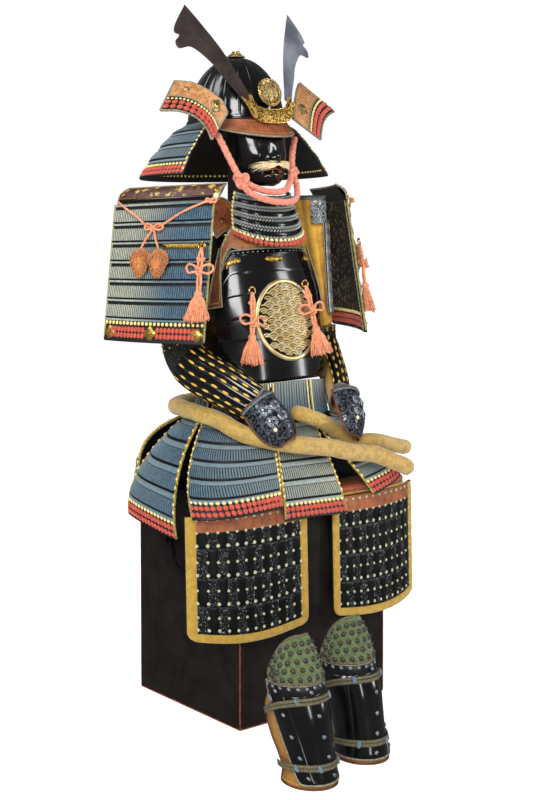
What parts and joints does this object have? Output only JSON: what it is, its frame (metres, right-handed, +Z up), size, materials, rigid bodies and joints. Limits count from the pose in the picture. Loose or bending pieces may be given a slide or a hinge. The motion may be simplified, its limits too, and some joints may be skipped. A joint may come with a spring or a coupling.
{
  "type": "samurai armour on storage chest",
  "caption": "Hollow samurai armour with horned helmet, half mask, shoulder guards, armoured sleeves, laced skirt and thigh and shin guards, seated on its storage chest",
  "frame": {"origin": "middle of the chest's footprint on the floor", "axes": "+Z up; the armour faces -Y, and its own right side is at -X"},
  "size_m": [0.7036, 0.8604, 1.6148],
  "materials": {
    "chest_lacquer": "satin dark red-brown lacquer",
    "black_wood": "dark stained",
    "black_iron": "satin black",
    "black_lacquer": "gloss black lacquer",
    "blue_lacing": "close silk braid lacing over lacquered scales",
    "black_mail": "small lacquered plates and mail on cloth",
    "printed_leather": "printed leather",
    "gilt_metal": "gilt",
    "dark_steel": "dark polished",
    "salmon_silk": "braided and fringed silk",
    "mustard_cloth": "woven",
    "cream_hair": "hair",
    "gold_brocade": "padded brocade",
    "green_pads": "quilted and studded",
    "tan_leather": "smooth"
  },
  "bodies": {
    "armour_and_chest": {"belt_end": "gold_brocade", "belt_roll": "gold_brocade", "breast_board": "printed_leather", "chest_body": "chest_lacquer", "chest_lid": "chest_lacquer", "crest_base": "gilt_metal", "crest_disc": "gilt_metal", "crown_fitting": "gilt_metal", "cuirass_back": "black_lacquer", "cuirass_front": "black_lacquer", "cuirass_tassel_left": "salmon_silk", "cuirass_tassel_right": "salmon_silk", "forearm_guard_left": "black_lacquer", "forearm_guard_right": "black_lacquer", "guard_cord_left": "salmon_silk", "guard_cord_right": "salmon_silk", "guard_tassel_left": "salmon_silk", "guard_tassel_right": "salmon_silk", "hand_guard_left": "black_iron", "hand_guard_right": "black_iron", "helmet_bowl": "black_lacquer", "helmet_cord": "salmon_silk", "helmet_peak": "printed_leather", "horn_left": "dark_steel", "horn_right": "dark_steel", "inner_stand": "black_wood", "knee_guard_left": "green_pads", "knee_guard_right": "green_pads", "mask": "black_lacquer", "moustache": "cream_hair", "neck_guard": "blue_lacing", "shin_lining_left": "tan_leather", "shin_lining_right": "tan_leather", "shin_plate_left": "black_lacquer", "shin_plate_right": "black_lacquer", "shoulder_board_left": "printed_leather", "shoulder_board_right": "printed_leather", "shoulder_guard_left": "blue_lacing", "shoulder_guard_right": "blue_lacing", "shoulder_strap_left": "printed_leather", "shoulder_strap_right": "printed_leather", "skirt_back_left": "blue_lacing", "skirt_back_right": "blue_lacing", "skirt_front": "blue_lacing", "skirt_front_left": "blue_lacing", "skirt_front_right": "blue_lacing", "skirt_side_left": "blue_lacing", "skirt_side_right": "blue_lacing", "sleeve_left": "mustard_cloth", "sleeve_right": "mustard_cloth", "thigh_apron": "printed_leather", "thigh_panel_left": "black_mail", "thigh_panel_right": "black_mail", "throat_guard": "blue_lacing", "turnback_left": "printed_leather", "turnback_right": "printed_leather", "upper_arm_guard_left": "black_lacquer", "upper_arm_guard_right": "black_lacquer"},
    "handle_right": {"chest_handle_right": "black_iron"},
    "handle_left": {"chest_handle_left": "black_iron"}
  },
  "joints": [
    {"name": "handle_right_swing", "type": "hinge", "parent": "armour_and_chest", "child": "handle_right", "pos_m": [-0.228, 0, 0.386], "axis": [0, 1, 0], "range_deg": [0, 85]},
    {"name": "handle_left_swing", "type": "hinge", "parent": "armour_and_chest", "child": "handle_left", "pos_m": [0.228, 0, 0.386], "axis": [0, -1, 0], "range_deg": [0, 85]}
  ]
}
